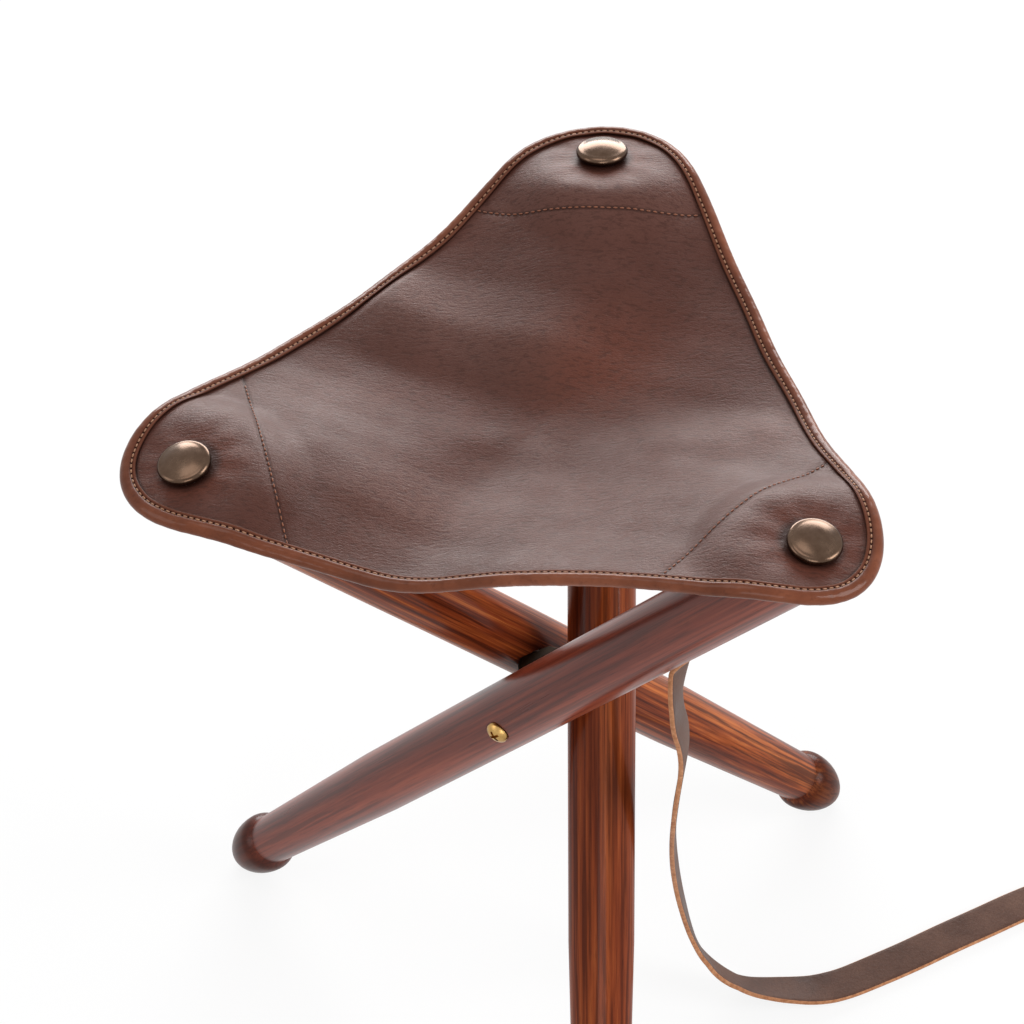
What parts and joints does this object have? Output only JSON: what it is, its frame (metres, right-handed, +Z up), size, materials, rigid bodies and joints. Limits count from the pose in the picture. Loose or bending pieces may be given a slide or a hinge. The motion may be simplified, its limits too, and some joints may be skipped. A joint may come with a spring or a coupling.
{
  "type": "folding tripod stool",
  "caption": "Folding tripod stool with turned wooden legs crossing at a brass hub, a sagging leather seat studded to the leg ends, and a leather closing strap",
  "frame": {"origin": "on the floor under the hub's axis, midway between the feet", "axes": "+Z up along the hub's axis; +X along the pivot screw of the rear leg; the rear leg's top leans towards +Y"},
  "size_m": [0.4986, 0.359, 0.4044],
  "materials": {
    "turned_wood": "dark reddish-brown stain under a glossy varnish",
    "seat_leather": "oiled pull-up leather, dark brown, soft sheen",
    "binding_leather": "lighter brown rolled and stitched edge",
    "patch_leather": "dull flesh-side leather",
    "strap_leather": "dark grey-brown faces with raw tan edges",
    "aged_brass": "antique brass, brown in the hollows",
    "steel": "plain zinc"
  },
  "bodies": {
    "hub": {"three_way_hub": "aged_brass", "seat_panel": "seat_leather", "edge_binding": "binding_leather", "pivot_screw_rear": "aged_brass", "pivot_washer_rear": "steel", "pivot_screw_left": "aged_brass", "pivot_washer_left": "steel", "pivot_screw_right": "aged_brass", "pivot_washer_right": "steel"},
    "leg_rear": {"leg_rear": "turned_wood", "corner_stud_rear": "aged_brass", "corner_patch_rear": "patch_leather"},
    "leg_left": {"leg_left": "turned_wood", "corner_stud_left": "aged_brass", "corner_patch_left": "patch_leather"},
    "leg_right": {"leg_right": "turned_wood", "corner_stud_right": "aged_brass", "corner_patch_right": "patch_leather", "carry_strap": "strap_leather", "strap_screw": "aged_brass", "strap_washer": "steel"}
  },
  "joints": [
    {"name": "fold_rear", "type": "hinge", "parent": "hub", "child": "leg_rear", "pos_m": [0, 0, 0.21196], "axis": [1, 0, 0], "range_deg": [0, 40], "deforming": ["corner_patch_rear", "seat_panel", "edge_binding"]},
    {"name": "fold_left", "type": "hinge", "parent": "hub", "child": "leg_left", "pos_m": [0, 0, 0.21196], "axis": [-0.5, 0.866, 0], "range_deg": [0, 40], "deforming": ["corner_patch_left"]},
    {"name": "fold_right", "type": "hinge", "parent": "hub", "child": "leg_right", "pos_m": [0, 0, 0.21196], "axis": [-0.5, -0.866, 0], "range_deg": [0, 40], "deforming": ["corner_patch_right", "carry_strap"]}
  ],
  "couplings": [
    {"joint": "fold_left", "follows": "fold_rear", "ratio": 1},
    {"joint": "fold_right", "follows": "fold_rear", "ratio": 1}
  ]
}
